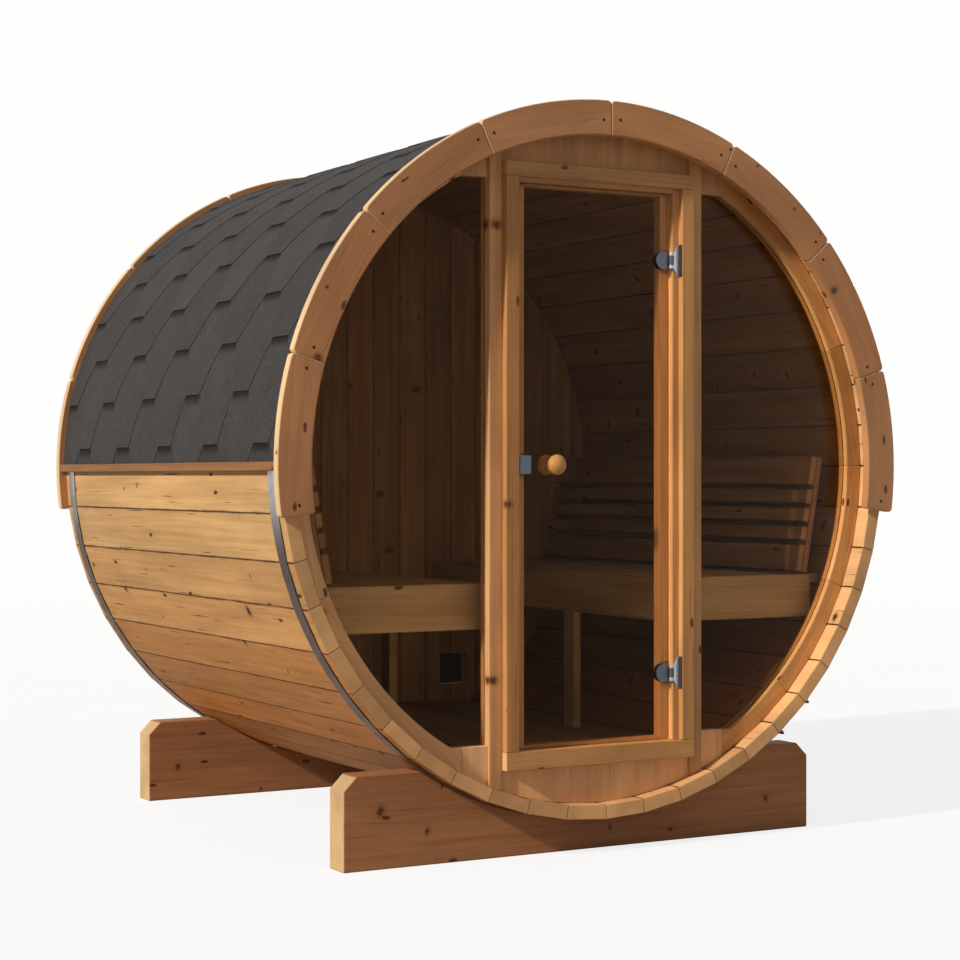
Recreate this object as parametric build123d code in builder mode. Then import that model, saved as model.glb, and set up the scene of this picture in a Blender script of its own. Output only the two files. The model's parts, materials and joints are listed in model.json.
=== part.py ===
"""Barrel sauna: a lying barrel of staves on two cradles, with a glazed front and a glass door.

Frame: millimetres, origin on the ground under the middle of the barrel, +Z up.
The barrel's axis runs along Y and the door faces -Y.
"""

import os
from math import asin, cos, degrees, radians, sin, sqrt

from build123d import *

# ---------------------------------------------------------------- driving dimensions
# Clearances
seat_gap = 0.3  # between pieces that seat on one another
board_gap = 0.5  # between neighbouring boards
door_gap = 5.5  # round the edge of the door glass
stop_gap = 6.0  # between the door glass and the stops behind it
hinge_pin_clearance = 0.05  # radial, between hinge pin and moving knuckle

# Barrel
barrel_radius = 950.0  # to the outer corners of the staves
barrel_clearance = 91.0  # ground to the lowest stave
stave_length = 1644.0
stave_thickness = 38.0
stave_count = 48
stave_groups = 8

# Cradles under the barrel
cradle_width = 1482.0
cradle_height = 244.0
cradle_thickness = 83.0
front_cradle_inset = 83.0  # stave ends to the outer face of the front cradle
back_cradle_inset = 94.0
cradle_chamfer = 37.0

# Steel bands round the barrel
band_width = 46.0
band_thickness = 2.0
band_inset = 35.0  # stave ends to the outer edge of a band
tensioner_angle = -46.9  # from +X about the barrel's axis
tensioner_lug_thickness = 6.0
tensioner_lug_height = 38.0
tensioner_lug_width = 24.0
tensioner_lug_spacing = 122.0
tensioner_bolt_diameter = 10.0
tensioner_head_diameter = 17.0
tensioner_head_length = 8.0

# Fascia arches on the ends of the roof
fascia_overhang = 23.0  # beyond the outer corners of the staves
fascia_width = 94.0
fascia_thickness = 27.0
fascia_segments = 8
fascia_segment_angle = 24.5
fascia_joint = 1.0
fascia_corner_radius = 12.0

# Shingle roof and the battens along its eaves
eave_height = 6.5  # above the barrel's axis
first_course_angle = 3.2  # from the horizontal to the butts of the first full course
course_angle = 8.25
courses_per_side = 10
shingle_butt_thickness = 7.0
shingle_head_thickness = 3.5
batten_height = 23.0
batten_thickness = 17.0

# End walls and front glazing
front_wall_inset = 49.0  # stave ends to the outer face of an end wall
end_wall_thickness = 42.0
front_ring_width = 48.0
pane_rise = 51.0  # floor to the bottom of the side panes
pane_crown_drop = 154.5  # highest stave inside to the top of the side panes
mullion_width = 39.0
mullion_inset = 39.0
pane_inset = 64.0
glass_thickness = 8.0

# Door frame
doorway_width = 520.0
doorway_rise = 34.0  # floor to the bottom of the doorway
doorway_crown_drop = 150.5  # highest stave inside to the top of the doorway
jamb_width = 39.5
head_height = 40.0
sill_height = 49.0
frame_inset = 17.0
step_inset = 35.0  # stave ends to the step inside the frame
hinge_step = 21.0
latch_step = 10.0
head_step = 12.0
door_inset = 46.0  # stave ends to the outer face of the door glass
side_stop_width = 27.0
top_stop_height = 8.0
bottom_stop_height = 10.5

# Door hinges
hinge_from_top = 197.0
hinge_from_bottom = 184.5
hinge_pin_diameter = 6.0
knuckle_diameter = 13.0
knuckle_length = 24.0  # of the moving knuckle
knuckle_end_gap = 1.0
knuckle_let_in = 2.5  # of the moving knuckle, into its clamp
fixed_knuckle_length = 9.0
wall_plate_thickness = 4.0
wall_plate_height = 88.0  # beside the jamb
wall_plate_edge = 44.0  # height beside the knuckles
wall_plate_flat = 5.0  # width of its full height
wall_plate_lip = 12.0  # along the side of the jamb
wall_plate_lip_thickness = 2.0
clamp_radius = 25.0
clamp_centre_from_pin = 20.0
clamp_edge_gap = 1.5  # beside the fixed knuckles
clamp_thickness = 8.0
clamp_back_thickness = 4.0
clamp_boss_diameter = 16.0

# Door knob and latch plate
handle_rise = 755.0  # bottom of the doorway to the knob and the latch plate
knob_inset = 118.0  # from the jamb
knob_diameter = 58.0
knob_height = 41.5  # glass to the crown of the knob
knob_neck_diameter = 28.0
knob_spindle_diameter = 12.0
knob_crown_rise = 17.0  # belly to crown
knob_rim_radius = 8.0
latch_height = 49.0
latch_width = 34.0
latch_inset = 33.0  # from the jamb
latch_thickness = 4.0
latch_boss_diameter = 14.0

# Back wall
back_board_width = 97.0
back_board_shift = 33.0  # of the board nearest the middle, to the right
vent_size = 105.0
vent_from_middle = 385.0
vent_rise = 105.0  # floor to the middle of the vent
vent_frame_width = 15.0
vent_frame_thickness = 12.0
vent_louvre_count = 4
vent_louvre_height = 8.0

# Floor
floor_rise = 121.0  # lowest stave to the top of the floor
floor_board_thickness = 26.0
floor_board_count = 8
bearer_width = 55.0
bearer_count = 3

# Benches and backrests
bench_height = 473.0  # above the floor
bench_depth = 545.0
bench_front_inset = 142.0  # stave ends to the front of a bench
bench_board_thickness = 26.0
bench_board_count = 5
bench_board_spacing = 10.0
apron_height = 123.0
apron_thickness = 26.0
bench_leg_width = 55.0
bench_leg_inset = 647.0  # stave ends to the front of a leg
bench_rail_count = 3
backrest_heights = (77.0, 39.0, 39.0, 41.0, 83.0)
backrest_spacing = 15.0
backrest_board_thickness = 20.0
backrest_wall_distance = 98.0  # foot of the lowest board to the outer edge of the seat
backrest_lift = 11.0  # above the bench
backrest_lean = 10.0  # degrees from upright
backrest_post_width = 42.0
backrest_post_count = 3

# ---------------------------------------------------------------- derived places
# Heights are measured from the barrel's axis, insets from the front stave ends.
axis_height = barrel_clearance + barrel_radius
front_y = -stave_length / 2
stave_pitch = 360 / stave_count
stave_inner_radius = barrel_radius - stave_thickness
lining_radius = stave_inner_radius * cos(radians(stave_pitch / 2)) - seat_gap

band_inner_radius = barrel_radius + seat_gap
band_outer_radius = band_inner_radius + band_thickness
roof_inner_radius = band_outer_radius + seat_gap
fascia_outer_radius = barrel_radius + fascia_overhang
fascia_inner_radius = fascia_outer_radius - fascia_width

floor_top = floor_rise - lining_radius
floor_bottom = floor_top - floor_board_thickness
bench_top = floor_top + bench_height
bench_bottom = bench_top - bench_board_thickness
bench_outer_edge = sqrt(lining_radius**2 - bench_bottom**2)
bench_inner_edge = bench_outer_edge - bench_depth

end_wall_back = front_wall_inset + end_wall_thickness
cabin_length = stave_length - 2 * end_wall_back
doorway_bottom = floor_top + doorway_rise
doorway_top = lining_radius - doorway_crown_drop
doorway_half = doorway_width / 2
jamb_outer = doorway_half + jamb_width
mullion_inner = jamb_outer + seat_gap
mullion_outer = mullion_inner + mullion_width
pane_radius = lining_radius - front_ring_width
pane_bottom = floor_top + pane_rise
pane_top = lining_radius - pane_crown_drop
infill_half_width = sqrt(pane_radius**2 - pane_top**2)

opening_left = latch_step - doorway_half
opening_right = doorway_half - hinge_step
opening_top = doorway_top - head_step
door_back = door_inset + glass_thickness
stop_inset = door_back + stop_gap
upper_hinge = doorway_top - hinge_from_top
lower_hinge = doorway_bottom + hinge_from_bottom
handle_height = doorway_bottom + handle_rise
knob_x = knob_inset - doorway_half
latch_x = latch_inset - doorway_half
knuckle_radius = knuckle_diameter / 2
pin_x = opening_right - seat_gap - knuckle_radius
clamp_inset = door_inset - seat_gap - clamp_thickness
pin_inset = clamp_inset - knuckle_radius + knuckle_let_in
clamp_x = pin_x - clamp_centre_from_pin
clamp_edge = pin_x - knuckle_radius - clamp_edge_gap

os.makedirs("parts", exist_ok=True)


def across(inset):
    """Plane across the barrel, centred on its axis, at `inset` behind the front stave ends."""
    return Plane(
        origin=(0, front_y + inset, axis_height), x_dir=(1, 0, 0), z_dir=(0, -1, 0)
    )


def write(piece, name):
    """Labels a finished sub-part and writes it as parts/<name>.step."""
    piece.part.label = name
    export_step(piece.part, f"parts/{name}.step")


def ring_sector(inner, outer, sweep, corner=0.0):
    """Sketch of one ring sector centred on the +X direction, with rounded outer corners."""
    with BuildSketch() as sector:
        with BuildLine():
            rim = CenterArc((0, 0), outer, -sweep / 2, sweep)
            bore = CenterArc((0, 0), inner, -sweep / 2, sweep)
            Line(rim @ 0, bore @ 0)
            Line(rim @ 1, bore @ 1)
        make_face()
        if corner:
            fillet(sector.vertices().sort_by_distance((0, 0))[-2:], corner)
    return sector.sketch


# ---------------------------------------------------------------- barrel
def build_staves():
    """Trapezoid staves, in groups of neighbours that each make one node."""
    half_pitch = stave_pitch / 2
    face_distance = barrel_radius * cos(radians(half_pitch))
    depth = face_distance - stave_inner_radius * cos(radians(half_pitch))
    joint_loss = board_gap / cos(radians(half_pitch))
    outer_width = 2 * barrel_radius * sin(radians(half_pitch)) - joint_loss
    per_group = stave_count // stave_groups
    group_angle = per_group * stave_pitch
    for group in range(stave_groups):
        first = group * group_angle + half_pitch
        with BuildPart() as staves:
            with BuildSketch(across(0)):
                with PolarLocations(
                    face_distance - depth / 2,
                    per_group,
                    start_angle=first,
                    angular_range=group_angle,
                    endpoint=False,
                ):
                    Trapezoid(outer_width, depth, 90 - half_pitch, rotation=90)
            extrude(amount=-stave_length)
        write(staves, f"staves_{group + 1}")


def build_cradle(name, inset):
    """One cradle: a thick plank with the barrel's saddle sawn out of its top edge."""
    with BuildPart() as cradle:
        with BuildSketch(across(inset)) as outline:
            with Locations((0, -axis_height)):
                Rectangle(cradle_width, cradle_height, align=(Align.CENTER, Align.MIN))
            chamfer(outline.vertices().group_by(Axis.Y)[-1], cradle_chamfer)
            Circle(barrel_radius + seat_gap, mode=Mode.SUBTRACT)
        extrude(amount=-cradle_thickness)
    write(cradle, name)


def build_band(name, inset):
    """One steel band round the barrel, with the lugs and bolt that draw it tight."""
    lug_foot = sqrt(band_outer_radius**2 - (tensioner_lug_spacing / 2) ** 2)
    lug_middle = lug_foot + tensioner_lug_height / 2 - band_thickness / 2
    bolt_length = tensioner_lug_spacing + 2 * tensioner_lug_thickness
    bolt_plane = Plane(
        origin=across(inset + band_width / 2).from_local_coords(
            (
                lug_middle * cos(radians(tensioner_angle)),
                lug_middle * sin(radians(tensioner_angle)),
                0,
            )
        ),
        x_dir=(0, 1, 0),
        z_dir=(-sin(radians(tensioner_angle)), 0, cos(radians(tensioner_angle))),
    )
    with BuildPart() as band:
        with BuildSketch(across(inset)):
            Circle(band_outer_radius)
            Circle(band_inner_radius, mode=Mode.SUBTRACT)
        extrude(amount=-band_width)
        with BuildSketch(across(inset + (band_width - tensioner_lug_width) / 2)):
            with Locations(Rotation(0, 0, tensioner_angle)):
                with GridLocations(0, tensioner_lug_spacing, 1, 2):
                    with Locations((lug_middle, 0)):
                        Rectangle(tensioner_lug_height, tensioner_lug_thickness)
        extrude(amount=-tensioner_lug_width)
        with BuildSketch(bolt_plane):
            Circle(tensioner_bolt_diameter / 2)
        extrude(amount=bolt_length / 2, both=True)
        with BuildSketch(bolt_plane.offset(bolt_length / 2 - tensioner_lug_thickness / 2)):
            RegularPolygon(tensioner_head_diameter / 2, 6)
        extrude(amount=tensioner_head_length)
    write(band, name)


# ---------------------------------------------------------------- roof
def build_fascia(name, inset):
    """One arch of sawn segments on the ends of the roof staves."""
    joint_angle = degrees(fascia_joint / fascia_outer_radius)
    arch_angle = fascia_segments * fascia_segment_angle
    first = 90 - arch_angle / 2 + fascia_segment_angle / 2
    segment = ring_sector(
        fascia_inner_radius,
        fascia_outer_radius,
        fascia_segment_angle - joint_angle,
        fascia_corner_radius,
    )
    with BuildPart() as fascia:
        with BuildSketch(across(inset)):
            with PolarLocations(
                0,
                fascia_segments,
                start_angle=first,
                angular_range=arch_angle,
                endpoint=False,
            ):
                add(segment)
        extrude(amount=-fascia_thickness)
    write(fascia, name)


def course_outline(low, high):
    """Sketch of one shingle course between two angles: a flat strip, thicker at its low edge."""
    joint = degrees(board_gap / roof_inner_radius) / 2
    start = radians(low + joint)
    end = radians(high - joint)
    corner_radius = roof_inner_radius / cos((end - start) / 2)
    with BuildSketch() as outline:
        with BuildLine():
            Polyline(
                (corner_radius * cos(start), corner_radius * sin(start)),
                (
                    (corner_radius + shingle_butt_thickness) * cos(start),
                    (corner_radius + shingle_butt_thickness) * sin(start),
                ),
                (
                    (corner_radius + shingle_head_thickness) * cos(end),
                    (corner_radius + shingle_head_thickness) * sin(end),
                ),
                (corner_radius * cos(end), corner_radius * sin(end)),
                close=True,
            )
        make_face()
    return outline.sketch


def build_shingles():
    """Shingle courses up both sides of the barrel, and the ridge strip over their tops."""
    eave_angle = degrees(asin(eave_height / roof_inner_radius))
    ridge_half_angle = 90 - first_course_angle - courses_per_side * course_angle
    length = stave_length - 2 * seat_gap
    with BuildPart() as right:
        with BuildSketch(across(seat_gap)):
            add(course_outline(eave_angle, first_course_angle))
            for course in range(courses_per_side):
                low = first_course_angle + course * course_angle
                add(course_outline(low, low + course_angle))
        extrude(amount=-length)
    write(right, "roof_shingles_right")
    with BuildPart() as left:
        add(right.part.mirror(Plane.YZ))
    write(left, "roof_shingles_left")
    corner_radius = roof_inner_radius / cos(radians(ridge_half_angle))
    ridge_half = corner_radius * sin(radians(ridge_half_angle)) - board_gap
    with BuildPart() as ridge:
        with BuildSketch(across(seat_gap)):
            with Locations((0, roof_inner_radius)):
                Rectangle(
                    2 * ridge_half,
                    shingle_butt_thickness,
                    align=(Align.CENTER, Align.MIN),
                )
        extrude(amount=-length)
    write(ridge, "roof_ridge")


def build_battens():
    """Battens that close the eaves, one along each side of the barrel."""
    middle = band_outer_radius + seat_gap + batten_thickness / 2
    with BuildPart() as battens:
        with BuildSketch(across(seat_gap)):
            with Locations((0, eave_height - seat_gap)):
                with GridLocations(2 * middle, 0, 2, 1):
                    Rectangle(
                        batten_thickness, batten_height, align=(Align.CENTER, Align.MAX)
                    )
        extrude(amount=2 * seat_gap - stave_length)
    write(battens, "eave_battens")


# ---------------------------------------------------------------- front wall
def pane_outline(side, shrink):
    """Sketch of one side pane: the ring's bore between its top, its bottom and the mullion."""
    low = pane_bottom + shrink
    high = pane_top - shrink
    inner = mullion_outer + shrink
    with BuildSketch() as outline:
        Circle(pane_radius - shrink)
        with Locations((side * (inner + pane_radius / 2), (low + high) / 2)):
            Rectangle(pane_radius, high - low, mode=Mode.INTERSECT)
    return outline.sketch


def build_side_rings():
    """The curved sides of the front wall, sawn in segments, between the staves and the panes."""
    for side, name in ((1, "front_ring_right"), (-1, "front_ring_left")):
        with BuildPart() as ring:
            with BuildSketch(across(front_wall_inset)):
                Circle(lining_radius)
                add(pane_outline(side, 0), mode=Mode.SUBTRACT)
                with Locations((side * (infill_half_width + lining_radius / 2), 0)):
                    Rectangle(lining_radius, 2 * lining_radius, mode=Mode.INTERSECT)
                with PolarLocations(lining_radius, 4, start_angle=-45 if side > 0 else 135,
                                    angular_range=90):
                    Rectangle(4 * front_ring_width, board_gap, mode=Mode.SUBTRACT)
            extrude(amount=-end_wall_thickness)
        write(ring, name)


def build_infill(name, side_edge, middle_edge, up):
    """Boards above (up = 1) or below (up = -1) the panes and the door, split by the mullions."""
    outer_half = infill_half_width - seat_gap
    inner_half = mullion_outer + seat_gap
    with BuildPart() as infill:
        with BuildSketch(across(front_wall_inset)):
            with Locations((0, middle_edge + up * (lining_radius / 2 + seat_gap))):
                Rectangle(2 * jamb_outer, lining_radius)
            with Locations((0, side_edge + up * lining_radius / 2)):
                with GridLocations(outer_half + inner_half, 0, 2, 1):
                    Rectangle(outer_half - inner_half, lining_radius)
            Circle(lining_radius, mode=Mode.INTERSECT)
        extrude(amount=-end_wall_thickness)
    write(infill, name)


def build_mullions():
    """Uprights beside the door frame, from stave to stave."""
    depth = end_wall_back - mullion_inset
    for side, name in ((1, "mullion_right"), (-1, "mullion_left")):
        with BuildPart() as mullion:
            with BuildSketch(across(mullion_inset)):
                with Locations((side * (mullion_inner + mullion_outer) / 2, 0)):
                    Rectangle(mullion_width, 2 * lining_radius)
                Circle(lining_radius, mode=Mode.INTERSECT)
            extrude(amount=-depth)
        write(mullion, name)


def build_side_glass():
    """Fixed panes left and right of the door."""
    with BuildPart() as glass:
        with BuildSketch(across(pane_inset)):
            add(pane_outline(1, seat_gap))
            add(pane_outline(-1, seat_gap))
        extrude(amount=-glass_thickness)
    write(glass, "side_glass")


# ---------------------------------------------------------------- door frame
def build_door_frame():
    """Jambs, head and sill of the doorway. Jambs and head are stepped behind the door's face."""
    depth = end_wall_back - frame_inset
    step_depth = end_wall_back - step_inset
    for side, step, name in (
        (1, hinge_step, "door_jamb_right"),
        (-1, latch_step, "door_jamb_left"),
    ):
        with BuildPart() as jamb:
            with BuildSketch(across(frame_inset)):
                with Locations(
                    (side * (doorway_half + jamb_width / 2), doorway_bottom)
                ):
                    Rectangle(
                        jamb_width,
                        doorway_top - doorway_bottom,
                        align=(Align.CENTER, Align.MIN),
                    )
            extrude(amount=-depth)
            with BuildSketch(across(step_inset)):
                with Locations((side * (doorway_half - step / 2), doorway_bottom)):
                    Rectangle(
                        step,
                        doorway_top - doorway_bottom,
                        align=(Align.CENTER, Align.MIN),
                    )
            extrude(amount=-step_depth)
        write(jamb, name)
    with BuildPart() as head:
        with BuildSketch(across(frame_inset)):
            with Locations((0, doorway_top + seat_gap)):
                Rectangle(
                    2 * jamb_outer,
                    head_height - seat_gap,
                    align=(Align.CENTER, Align.MIN),
                )
        extrude(amount=-depth)
        with BuildSketch(across(step_inset)):
            with Locations(((opening_left + opening_right) / 2, opening_top)):
                Rectangle(
                    opening_right - opening_left - 2 * seat_gap,
                    head_step + seat_gap,
                    align=(Align.CENTER, Align.MIN),
                )
        extrude(amount=-step_depth)
    write(head, "door_head")
    with BuildPart() as sill:
        with BuildSketch(across(frame_inset)):
            with Locations((0, doorway_bottom - seat_gap)):
                Rectangle(
                    2 * jamb_outer,
                    sill_height - seat_gap,
                    align=(Align.CENTER, Align.MAX),
                )
        extrude(amount=-depth)
    write(sill, "door_sill")


def build_door_stops():
    """Strips that the door closes against, relieved behind the hinges and the latch plate."""
    depth = end_wall_back - stop_inset
    relief = clamp_back_thickness + seat_gap + door_gap - stop_gap
    middle = (opening_left + opening_right) / 2
    half_width = (opening_right - opening_left) / 2 - seat_gap
    height = opening_top - doorway_bottom - 2 * seat_gap
    strip_width = 2 * (half_width - side_stop_width - seat_gap)
    side_middle = half_width - side_stop_width / 2
    with BuildPart() as stops:
        with BuildSketch(across(stop_inset)):
            with Locations((middle, (opening_top + doorway_bottom) / 2)):
                with GridLocations(2 * side_middle, 0, 2, 1):
                    Rectangle(side_stop_width, height)
            with Locations((middle, opening_top - seat_gap)):
                Rectangle(
                    strip_width, top_stop_height, align=(Align.CENTER, Align.MAX)
                )
            with Locations((middle, doorway_bottom + seat_gap)):
                Rectangle(
                    strip_width, bottom_stop_height, align=(Align.CENTER, Align.MIN)
                )
        extrude(amount=-depth)
        with BuildSketch(across(stop_inset)):
            with Locations(
                (middle + side_middle, upper_hinge), (middle + side_middle, lower_hinge)
            ):
                Rectangle(2 * side_stop_width, 2 * (clamp_radius + door_gap))
            with Locations((middle - side_middle, handle_height)):
                Rectangle(2 * side_stop_width, latch_height + 2 * door_gap)
        extrude(amount=-relief, mode=Mode.SUBTRACT)
    write(stops, "door_stops")


def build_wall_plates():
    """Fixed hinge halves on the right jamb: a plate with a lip, two knuckles and their pin."""
    plate_back = step_inset - seat_gap
    plate_inset = plate_back - wall_plate_thickness
    plate_right = doorway_half - seat_gap
    plate_left = opening_right + knuckle_end_gap
    flat_left = plate_right - wall_plate_flat
    half_height = wall_plate_height / 2
    half_edge = wall_plate_edge / 2
    pin_length = knuckle_length + 2 * knuckle_end_gap + 2 * fixed_knuckle_length
    knuckle_middle = knuckle_length / 2 + knuckle_end_gap + fixed_knuckle_length / 2
    with BuildPart() as plates:
        for height in (upper_hinge, lower_hinge):
            with BuildSketch(across(plate_inset)):
                with BuildLine():
                    Polyline(
                        (plate_left, height - half_edge),
                        (flat_left, height - half_height),
                        (plate_right, height - half_height),
                        (plate_right, height + half_height),
                        (flat_left, height + half_height),
                        (plate_left, height + half_edge),
                        close=True,
                    )
                make_face()
            extrude(amount=-wall_plate_thickness)
            level = Plane((0, front_y, axis_height + height))
            with BuildSketch(level):
                with Locations((plate_right, plate_inset)):
                    Rectangle(
                        wall_plate_lip_thickness,
                        wall_plate_lip,
                        align=(Align.MAX, Align.MAX),
                    )
            extrude(amount=half_height, both=True)
            for end in (knuckle_middle, -knuckle_middle):
                with BuildSketch(level.offset(end)):
                    with Locations((pin_x, pin_inset)):
                        Circle(knuckle_radius)
                    with Locations((pin_x, plate_back)):
                        Rectangle(
                            plate_left + knuckle_end_gap - pin_x,
                            wall_plate_thickness,
                            align=(Align.MIN, Align.MAX),
                        )
                extrude(amount=fixed_knuckle_length / 2, both=True)
            with BuildSketch(level):
                with Locations((pin_x, pin_inset)):
                    Circle(hinge_pin_diameter / 2)
            extrude(amount=pin_length / 2, both=True)
    write(plates, "hinge_wall_plates")


# ---------------------------------------------------------------- door
def build_door_glass():
    """Frameless glass leaf, drilled for its hinge clamps, its knob and its latch plate."""
    width = opening_right - opening_left - 2 * door_gap
    height = opening_top - doorway_bottom - 2 * door_gap
    with BuildPart() as leaf:
        with BuildSketch(across(door_inset)):
            with Locations(
                (
                    (opening_left + opening_right) / 2,
                    (opening_top + doorway_bottom) / 2,
                )
            ):
                Rectangle(width, height)
            with Locations((clamp_x, upper_hinge), (clamp_x, lower_hinge)):
                Circle(clamp_boss_diameter / 2 + seat_gap, mode=Mode.SUBTRACT)
            with Locations((knob_x, handle_height)):
                Circle(knob_spindle_diameter / 2 + seat_gap, mode=Mode.SUBTRACT)
            with Locations((latch_x, handle_height)):
                Circle(latch_boss_diameter / 2 + seat_gap, mode=Mode.SUBTRACT)
        extrude(amount=-glass_thickness)
    write(leaf, "door_glass")


def build_hinge_clamps():
    """Moving hinge halves: a D-shaped clamp on both faces of the glass, with a bored knuckle."""
    bore_radius = hinge_pin_diameter / 2 + hinge_pin_clearance
    for name, height in (
        ("door_hinge_upper", upper_hinge),
        ("door_hinge_lower", lower_hinge),
    ):
        level = Plane((0, front_y, axis_height + height))
        with BuildPart() as clamp:
            for inset, thickness in (
                (clamp_inset, clamp_thickness),
                (door_back + seat_gap, clamp_back_thickness),
            ):
                with BuildSketch(across(inset)):
                    with Locations((clamp_x, height)):
                        Circle(clamp_radius)
                    with Locations((clamp_edge, height)):
                        Rectangle(
                            3 * clamp_radius,
                            2 * clamp_radius,
                            align=(Align.MAX, Align.CENTER),
                            mode=Mode.INTERSECT,
                        )
                    with Locations((pin_x, height)):
                        Rectangle(
                            clamp_centre_from_pin,
                            knuckle_length,
                            align=(Align.MAX, Align.CENTER),
                        )
                extrude(amount=-thickness)
            with BuildSketch(across(clamp_inset)):
                with Locations((clamp_x, height)):
                    Circle(clamp_boss_diameter / 2)
            extrude(amount=clamp_inset - door_back - 2 * seat_gap)
            with BuildSketch(level):
                with Locations((pin_x, pin_inset)):
                    Circle(knuckle_radius)
            extrude(amount=knuckle_length / 2, both=True)
            with BuildSketch(level):
                with Locations((pin_x, pin_inset)):
                    Circle(bore_radius)
            extrude(amount=2 * clamp_radius, both=True, mode=Mode.SUBTRACT)
        write(clamp, name)


def build_knob():
    """Round wooden knobs on both faces of the glass, turned on one spindle."""
    neck = knob_neck_diameter / 2
    radius = knob_diameter / 2
    spindle = knob_spindle_diameter / 2
    face = glass_thickness / 2 + seat_gap
    crown = glass_thickness / 2 + knob_height
    belly = crown - knob_crown_rise
    crown_radius = (radius**2 + knob_crown_rise**2) / (2 * knob_crown_rise)
    crown_middle = radius / 2
    crown_drop = crown_radius - sqrt(crown_radius**2 - crown_middle**2)
    middle = Plane(
        origin=(
            knob_x,
            front_y + door_inset + glass_thickness / 2,
            axis_height + handle_height,
        )
    )
    with BuildPart() as knob:
        with BuildSketch(middle) as profile:
            with BuildLine():
                Polyline((0, 0), (spindle, 0), (spindle, face), (neck, face))
                Line((neck, face), (radius, belly))
                ThreePointArc(
                    (radius, belly), (crown_middle, crown - crown_drop), (0, crown)
                )
                Line((0, crown), (0, 0))
            make_face()
            fillet(profile.vertices().sort_by(Axis.X)[-1], knob_rim_radius)
        revolve(axis=Axis(middle.origin, (0, 1, 0)))
        mirror(about=Plane(middle.origin, x_dir=(1, 0, 0), z_dir=(0, 1, 0)))
    write(knob, "door_knob")


def build_latch_plate():
    """Latch plates on both faces of the glass, joined through it."""
    front_inset = door_inset - seat_gap - latch_thickness
    with BuildPart() as latch:
        for inset in (front_inset, door_back + seat_gap):
            with BuildSketch(across(inset)):
                with Locations((latch_x, handle_height)):
                    Rectangle(latch_width, latch_height)
            extrude(amount=-latch_thickness)
        with BuildSketch(across(front_inset)):
            with Locations((latch_x, handle_height)):
                Circle(latch_boss_diameter / 2)
        extrude(amount=front_inset - door_back - 2 * seat_gap)
    write(latch, "door_latch_plate")


# ---------------------------------------------------------------- back wall
def build_back_wall():
    """Upright boards across the back end, with a square vent hole near the floor."""
    outer_inset = stave_length - front_wall_inset
    vent_height = floor_top + vent_rise
    count = int(2 * lining_radius / back_board_width) + 2
    with BuildPart() as boards:
        with BuildSketch(across(outer_inset - end_wall_thickness)):
            with Locations((back_board_shift - back_board_width / 2, 0)):
                with GridLocations(back_board_width, 0, count, 1):
                    Rectangle(back_board_width - board_gap, 2 * lining_radius)
            Circle(lining_radius, mode=Mode.INTERSECT)
            with Locations((vent_from_middle, vent_height)):
                Rectangle(vent_size, vent_size, mode=Mode.SUBTRACT)
        extrude(amount=-end_wall_thickness)
    write(boards, "back_wall_boards")


def build_vent():
    """Louvred vent frame on the outside of the back wall."""
    inset = stave_length - front_wall_inset + seat_gap
    vent_height = floor_top + vent_rise
    outer = vent_size + 2 * vent_frame_width
    with BuildPart() as vent:
        with BuildSketch(across(inset)):
            with Locations((vent_from_middle, vent_height)):
                Rectangle(outer, outer)
                Rectangle(vent_size, vent_size, mode=Mode.SUBTRACT)
                with GridLocations(0, vent_size / vent_louvre_count, 1, vent_louvre_count):
                    Rectangle(outer - vent_frame_width, vent_louvre_height)
        extrude(amount=-vent_frame_thickness)
    write(vent, "back_vent")


# ---------------------------------------------------------------- floor and benches
def build_floor():
    """Floor boards along the cabin, and the bearers that carry them on the staves."""
    half_width = sqrt(lining_radius**2 - floor_bottom**2)
    pitch = 2 * half_width / floor_board_count
    with BuildPart() as boards:
        with BuildSketch(across(end_wall_back + seat_gap)):
            with Locations((0, floor_top - floor_board_thickness / 2)):
                with GridLocations(pitch, 0, floor_board_count, 1):
                    Rectangle(pitch - board_gap, floor_board_thickness)
        extrude(amount=2 * seat_gap - cabin_length)
    write(boards, "floor_boards")
    spacing = (cabin_length - bearer_width - 2 * seat_gap) / (bearer_count - 1)
    with BuildPart() as bearers:
        for bearer in range(bearer_count):
            with BuildSketch(across(end_wall_back + seat_gap + bearer * spacing)):
                Circle(lining_radius)
                with Locations((0, floor_bottom - seat_gap)):
                    Rectangle(
                        2 * lining_radius,
                        lining_radius,
                        align=(Align.CENTER, Align.MAX),
                        mode=Mode.INTERSECT,
                    )
            extrude(amount=-bearer_width)
    write(bearers, "floor_bearers")


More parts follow.
